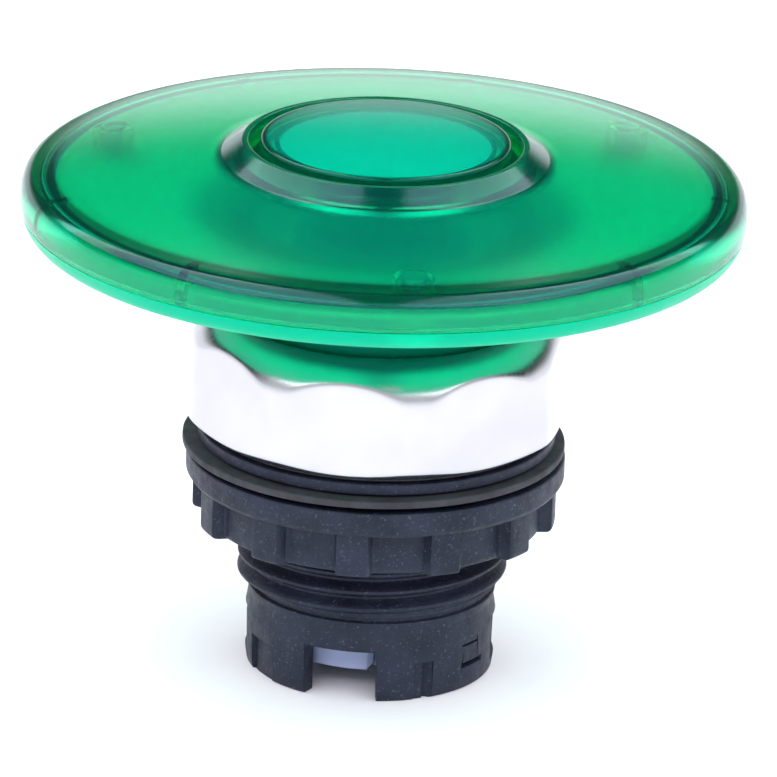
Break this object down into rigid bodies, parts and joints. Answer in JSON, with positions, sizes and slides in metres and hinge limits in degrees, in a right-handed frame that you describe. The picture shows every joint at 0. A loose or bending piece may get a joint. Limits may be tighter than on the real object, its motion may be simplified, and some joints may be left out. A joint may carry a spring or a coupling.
{
  "type": "mushroom push-button head",
  "caption": "Illuminated mushroom push-button head for a 22 mm panel hole: green domed actuator, octagonal bezel, threaded body with ring nut and gasket, spring return.",
  "frame": {"origin": "centre of the foot's bottom face, on the button's axis", "axes": "+Z along the axis from the foot up to the mushroom, against the press; -Y to the front, where one bayonet slot opens"},
  "size_m": [0.0584, 0.0584, 0.0446],
  "materials": {
    "black_plastic": "moulded black glass-filled plastic, satin",
    "bezel_metal": "satin chrome on a die-cast ring",
    "rubber": "matt black-brown elastomer",
    "green_lens": "polished translucent green polycarbonate",
    "green_base": "satin translucent green polycarbonate",
    "grey_plastic": "light blue-grey moulded plastic",
    "opal_plastic": "opal white diffuser plastic",
    "spring_steel": "bright spring steel"
  },
  "bodies": {
    "housing": {"threaded_body": "black_plastic", "bezel": "bezel_metal", "bezel_seal": "rubber", "lip_seal": "rubber", "return_spring": "spring_steel"},
    "gasket": {"panel_gasket": "rubber"},
    "nut": {"ring_nut": "black_plastic"},
    "operator": {"mushroom_base": "green_base", "mushroom_lens": "green_lens", "lens_seal": "rubber", "centre_cap": "green_lens", "legend_plate": "opal_plastic", "plunger": "grey_plastic", "hub_clip": "spring_steel", "spring_seat": "spring_steel", "stop_washer": "spring_steel", "plunger_circlip": "spring_steel", "pusher": "grey_plastic", "base_screw_1": "spring_steel", "base_screw_2": "spring_steel", "base_screw_3": "spring_steel"}
  },
  "joints": [
    {"name": "press", "type": "slide", "parent": "housing", "child": "operator", "axis": [0, 0, -1], "range_m": [0, 0.004], "stiffness_N_per_m": 600, "springref_m": -0.004, "deforming": ["return_spring"]},
    {"name": "gasket_slide", "type": "slide", "parent": "housing", "child": "gasket", "axis": [0, 0, 1], "range_m": [-0.0046, 0]},
    {"name": "nut_turn", "type": "hinge", "parent": "gasket", "child": "nut", "pos_m": [0, 0, 0.0153], "axis": [0, 0, 1], "range_deg": [-1080, 0]}
  ],
  "couplings": [
    {"joint": "gasket_slide", "follows": "nut_turn", "m_per_rad": 0.00023873}
  ]
}
